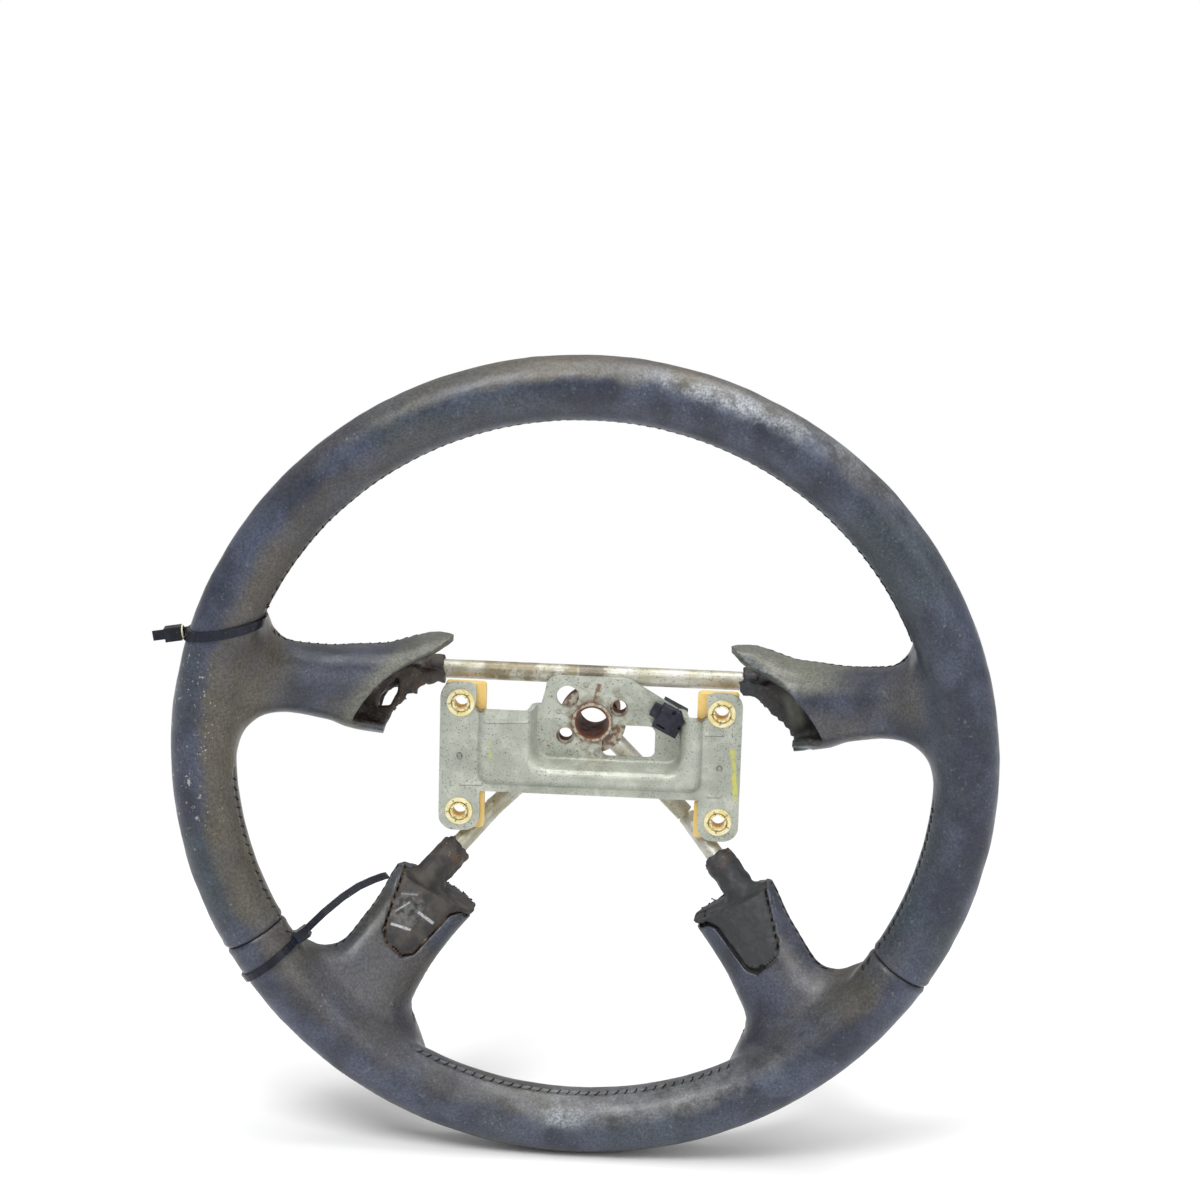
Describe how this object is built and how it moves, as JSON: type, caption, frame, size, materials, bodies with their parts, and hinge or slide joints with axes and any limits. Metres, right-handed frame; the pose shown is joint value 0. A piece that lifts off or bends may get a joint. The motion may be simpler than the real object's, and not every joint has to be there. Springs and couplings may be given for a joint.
{
  "type": "car steering wheel",
  "caption": "Worn leather-wrapped steering wheel stripped of its airbag module: oval rim, hollow torn spokes, pressed hub plate, shaft boss, bushes and cable ties.",
  "frame": {"origin": "middle of the shaft bore, on its axis", "axes": "+Y along the shaft bore away from the driver, +Z towards the top of the rim, +X the driver's right"},
  "size_m": [0.3991, 0.1148, 0.39],
  "materials": {
    "steel": "dull",
    "bar_steel": "mottled, dull yellowish zinc",
    "plate_zinc": "dull zinc with dark specks",
    "rusty_steel": "rusty round the bore",
    "nylon": "satin, yellowed",
    "black_plastic": "satin",
    "foam": "matt, torn and dusty",
    "leather": "worn, dirty and slightly glossy",
    "thread": "matt sewing thread",
    "tie_plastic": "satin",
    "ivory_thread": "matt"
  },
  "bodies": {
    "root": {"rim_ring": "steel", "cross_bar": "bar_steel", "lower_rod_left": "bar_steel", "lower_rod_right": "bar_steel", "hub_plate": "plate_zinc", "hub_boss": "rusty_steel", "bush_upper_left": "nylon", "bush_upper_right": "nylon", "bush_lower_left": "nylon", "bush_lower_right": "nylon", "connector_clip": "black_plastic", "foam_core": "foam", "leather_upper": "leather", "leather_lower": "leather", "thread_upper": "thread", "thread_lower": "thread", "cable_tie_upper": "tie_plastic", "cable_tie_lower": "tie_plastic", "tag_thread": "ivory_thread"}
  },
  "joints": []
}
